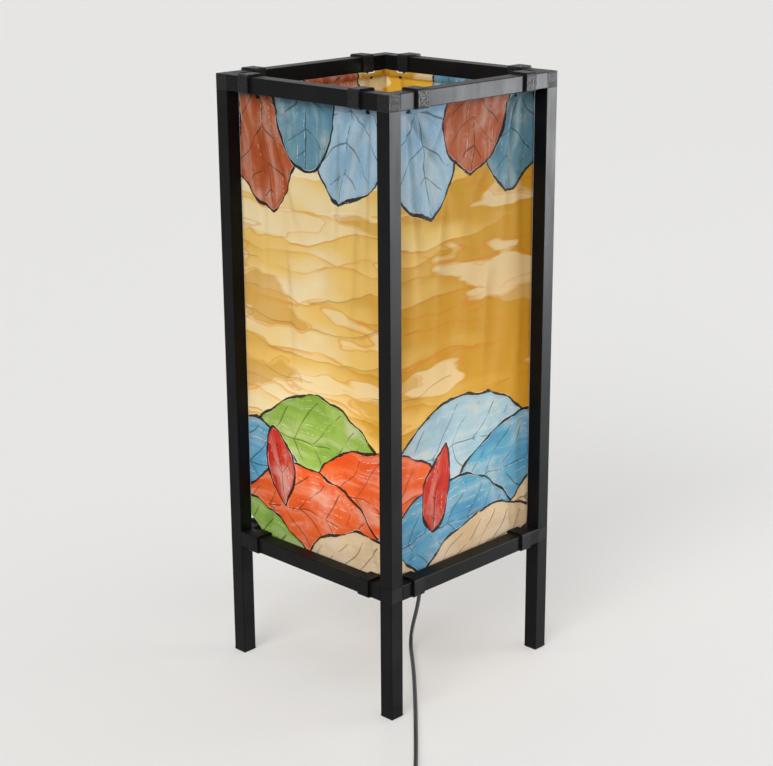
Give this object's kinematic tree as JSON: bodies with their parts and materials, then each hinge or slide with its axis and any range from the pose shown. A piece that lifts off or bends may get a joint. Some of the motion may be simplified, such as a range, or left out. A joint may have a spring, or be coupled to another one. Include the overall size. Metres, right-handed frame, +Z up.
{
  "type": "andon floor lamp",
  "caption": "Square floor lamp: a dark tube frame on legs holds an open-ended printed fabric sleeve on clipped hem rods, with a corded bulb on a cross bar and an in-line switch.",
  "frame": {"origin": "middle of the four feet on the floor", "axes": "+Z up along the posts; the four sides face -X, +X, -Y and +Y, and the corner nearest the picture's viewer is towards -X and -Y"},
  "size_m": [0.5461, 0.5132, 0.786],
  "materials": {
    "frame_metal": "fine satin powder coat",
    "connector_plastic": "fine grained moulding",
    "shade_fabric": "thin woven cloth with a painted wash print",
    "rod_steel": "drawn wire",
    "bar_metal": "satin black",
    "screw_steel": "zinc plated",
    "holder_plastic": "smooth black moulding",
    "holder_ceramic": "unglazed white",
    "contact_brass": "rolled sheet",
    "bulb_cap_metal": "rolled thread",
    "bulb_body_plastic": "white moulding",
    "bulb_dome_opal": "opal diffuser, lit warm white",
    "cord_rubber": "smooth black jacket",
    "tie_fabric": "woven hook and loop tape",
    "switch_plastic": "semi-gloss black moulding",
    "rocker_plastic": "semi-gloss black moulding",
    "plug_rubber": "moulded on the cord",
    "pin_brass": "nickel plated"
  },
  "bodies": {
    "lamp": {"bar_screws": "screw_steel", "bulb_body": "bulb_body_plastic", "bulb_cap": "bulb_cap_metal", "bulb_dome": "bulb_dome_opal", "coil_tie": "tie_fabric", "contact_sleeve": "contact_brass", "cord_bushing": "cord_rubber", "cord_coil": "cord_rubber", "cord_coil_to_plug": "cord_rubber", "cord_switch_to_coil": "cord_rubber", "cord_to_switch": "cord_rubber", "cross_bar": "bar_metal", "foot_plug_front": "connector_plastic", "foot_plug_left": "connector_plastic", "foot_plug_rear": "connector_plastic", "foot_plug_right": "connector_plastic", "holder_cap": "holder_plastic", "holder_insert": "holder_ceramic", "holder_nipple": "screw_steel", "holder_shell": "holder_plastic", "inner_lead": "cord_rubber", "leg_front": "frame_metal", "leg_left": "frame_metal", "leg_rear": "frame_metal", "leg_right": "frame_metal", "lower_connector_front": "connector_plastic", "lower_connector_left": "connector_plastic", "lower_connector_rear": "connector_plastic", "lower_connector_right": "connector_plastic", "lower_hem_rods": "rod_steel", "lower_rail_back_left": "frame_metal", "lower_rail_back_right": "frame_metal", "lower_rail_clips": "connector_plastic", "lower_rail_front_left": "frame_metal", "lower_rail_front_right": "frame_metal", "nipple_nut": "screw_steel", "plug_body": "plug_rubber", "plug_pins": "pin_brass", "post_front": "frame_metal", "post_left": "frame_metal", "post_rear": "frame_metal", "post_right": "frame_metal", "shade_panel_back_left": "shade_fabric", "shade_panel_back_right": "shade_fabric", "shade_panel_front_left": "shade_fabric", "shade_panel_front_right": "shade_fabric", "switch_lower": "switch_plastic", "switch_upper": "switch_plastic", "top_connector_front": "connector_plastic", "top_connector_left": "connector_plastic", "top_connector_rear": "connector_plastic", "top_connector_right": "connector_plastic", "top_rail_back_left": "frame_metal", "top_rail_back_right": "frame_metal", "top_rail_clips": "connector_plastic", "top_rail_front_left": "frame_metal", "top_rail_front_right": "frame_metal", "upper_hem_rods": "rod_steel"},
    "rocker": {"switch_rocker": "rocker_plastic"}
  },
  "joints": [
    {"name": "switch_rocking", "type": "hinge", "parent": "lamp", "child": "rocker", "pos_m": [-0.27095, -0.30344, 0.0105], "axis": [0.6721, -0.7405, 0], "range_deg": [-14, 0]}
  ]
}
